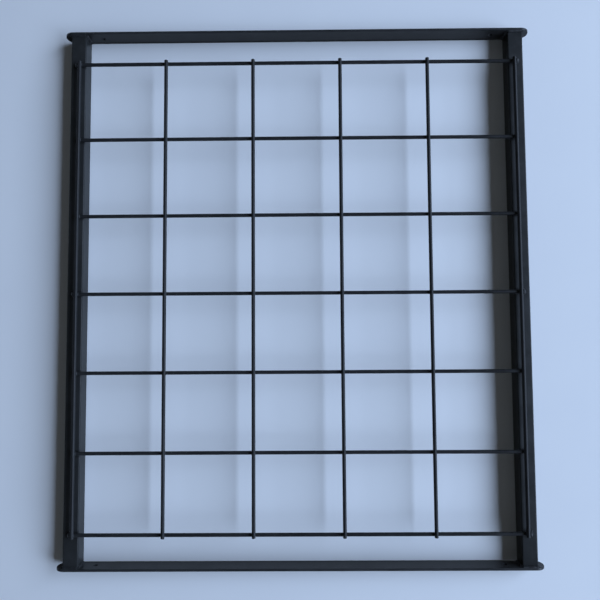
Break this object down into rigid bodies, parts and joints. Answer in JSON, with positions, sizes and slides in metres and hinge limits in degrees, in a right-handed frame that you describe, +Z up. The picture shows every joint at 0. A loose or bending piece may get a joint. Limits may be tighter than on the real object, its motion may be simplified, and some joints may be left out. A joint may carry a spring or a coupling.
{
  "type": "window security guard",
  "caption": "Rigid welded window guard: flat top and bottom bars with rounded ends, square tube rails and a front grid of round wires, painted satin black.",
  "frame": {"origin": "centre of the bottom bar's underside, the face that sits on the window sill", "axes": "+Z up along the rails, +X along the bars to the viewer's right, front with the wire grid faces -Y"},
  "size_m": [0.62, 0.0328, 0.7],
  "materials": {
    "bar_paint": "satin black paint",
    "rail_paint": "satin black paint",
    "wire_paint": "satin black paint",
    "weld_paint": "satin black paint over weld bead"
  },
  "bodies": {
    "root": {"top_flat_bar": "bar_paint", "bottom_flat_bar": "bar_paint", "left_rail_tube": "rail_paint", "right_rail_tube": "rail_paint", "horizontal_wire_1": "wire_paint", "horizontal_wire_2": "wire_paint", "horizontal_wire_3": "wire_paint", "horizontal_wire_4": "wire_paint", "horizontal_wire_5": "wire_paint", "horizontal_wire_6": "wire_paint", "horizontal_wire_7": "wire_paint", "vertical_wire_1": "wire_paint", "vertical_wire_2": "wire_paint", "vertical_wire_3": "wire_paint", "vertical_wire_4": "wire_paint", "vertical_wire_5": "wire_paint", "vertical_wire_6": "wire_paint", "weld_top_left_front": "weld_paint", "weld_top_left_rear": "weld_paint", "weld_top_left_outer": "weld_paint", "weld_top_left_inner": "weld_paint", "weld_top_right_front": "weld_paint", "weld_top_right_rear": "weld_paint", "weld_top_right_outer": "weld_paint", "weld_top_right_inner": "weld_paint", "weld_bottom_left_front": "weld_paint", "weld_bottom_left_rear": "weld_paint", "weld_bottom_left_outer": "weld_paint", "weld_bottom_left_inner": "weld_paint", "weld_bottom_right_front": "weld_paint", "weld_bottom_right_rear": "weld_paint", "weld_bottom_right_outer": "weld_paint", "weld_bottom_right_inner": "weld_paint", "tack_weld_left_top": "weld_paint", "tack_weld_left_middle": "weld_paint", "tack_weld_left_bottom": "weld_paint", "tack_weld_right_top": "weld_paint", "tack_weld_right_middle": "weld_paint", "tack_weld_right_bottom": "weld_paint"}
  },
  "joints": []
}
